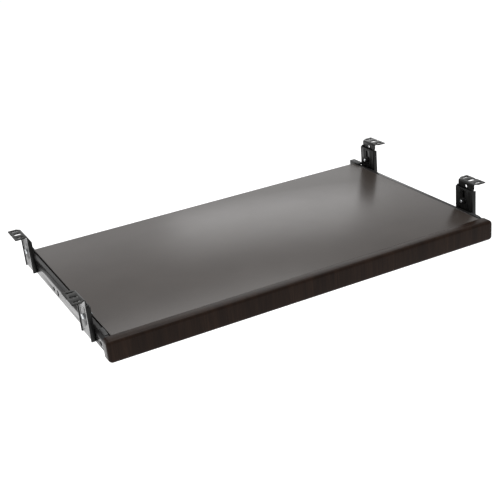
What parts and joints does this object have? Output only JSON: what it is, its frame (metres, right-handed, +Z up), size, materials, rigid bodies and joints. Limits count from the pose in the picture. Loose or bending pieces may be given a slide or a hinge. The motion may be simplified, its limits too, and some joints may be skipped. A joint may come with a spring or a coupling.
{
  "type": "keyboard tray",
  "caption": "Under-desk keyboard tray: dark laminated shelf with a deeper front strip, on ball-bearing side slides held by height-adjustable steel brackets with slotted desk plates",
  "frame": {"origin": "centre of the rectangle of the four brackets' middle screw slots, in the plane where the bracket plates meet the underside of the desk", "axes": "+X along the tray's length to the right as seen by the user, +Y to the back, away from the user, +Z up"},
  "size_m": [0.7528, 0.4232, 0.084],
  "materials": {
    "panel_laminate": "black-brown melamine laminate, smooth semi-gloss",
    "strip_foil": "dark espresso foil wrapped on board, fine grain, satin",
    "edge_band": "thin black-brown edge band, satin",
    "dowel_wood": "plain beech, hidden in the joint",
    "black_steel": "black electro-coated steel, satin",
    "black_bracket": "black electro-coated pressed steel, semi-gloss",
    "black_screws": "black oxide steel",
    "black_nuts": "black oxide steel",
    "bright_zinc": "bright zinc plate",
    "cage_steel": "plain pressed steel, lightly oiled",
    "ball_steel": "polished bearing steel",
    "black_plastic": "black moulded plastic"
  },
  "bodies": {
    "hangers": {"upper_bracket_front_right": "black_bracket", "upper_bracket_front_left": "black_bracket", "upper_bracket_rear_right": "black_bracket", "upper_bracket_rear_left": "black_bracket", "clamp_screws": "bright_zinc", "clamp_nuts": "black_nuts", "clamp_washers": "black_nuts"},
    "carriage": {"outer_rail_right": "black_steel", "outer_rail_left": "black_steel", "lower_bracket_front_right": "black_bracket", "lower_bracket_front_left": "black_bracket", "lower_bracket_rear_right": "black_bracket", "lower_bracket_rear_left": "black_bracket", "bracket_rivets": "black_screws", "front_guide_right": "black_plastic", "front_guide_left": "black_plastic", "rear_stop_right": "black_plastic", "rear_stop_left": "black_plastic"},
    "tray": {"tray_panel": "panel_laminate", "front_strip": "strip_foil", "rear_edge_band": "edge_band", "side_edge_band_right": "edge_band", "side_edge_band_left": "edge_band", "strip_dowels": "dowel_wood", "inner_rail_right": "black_steel", "inner_rail_left": "black_steel", "rail_screws_right": "black_screws", "rail_screws_left": "black_screws"},
    "cage_right": {"ball_cage_right": "cage_steel", "bearing_balls_right": "ball_steel"},
    "cage_left": {"ball_cage_left": "cage_steel", "bearing_balls_left": "ball_steel"}
  },
  "joints": [
    {"name": "height_adjust", "type": "slide", "parent": "hangers", "child": "carriage", "axis": [0, 0, 1], "range_m": [-0.016, 0]},
    {"name": "tray_slide", "type": "slide", "parent": "carriage", "child": "tray", "axis": [0, -1, 0], "range_m": [0, 0.25]},
    {"name": "cage_right_roll", "type": "slide", "parent": "carriage", "child": "cage_right", "axis": [0, -1, 0], "range_m": [0, 0.125]},
    {"name": "cage_left_roll", "type": "slide", "parent": "carriage", "child": "cage_left", "axis": [0, -1, 0], "range_m": [0, 0.125]}
  ],
  "couplings": [
    {"joint": "cage_right_roll", "follows": "tray_slide", "ratio": 0.5},
    {"joint": "cage_left_roll", "follows": "tray_slide", "ratio": 0.5}
  ]
}
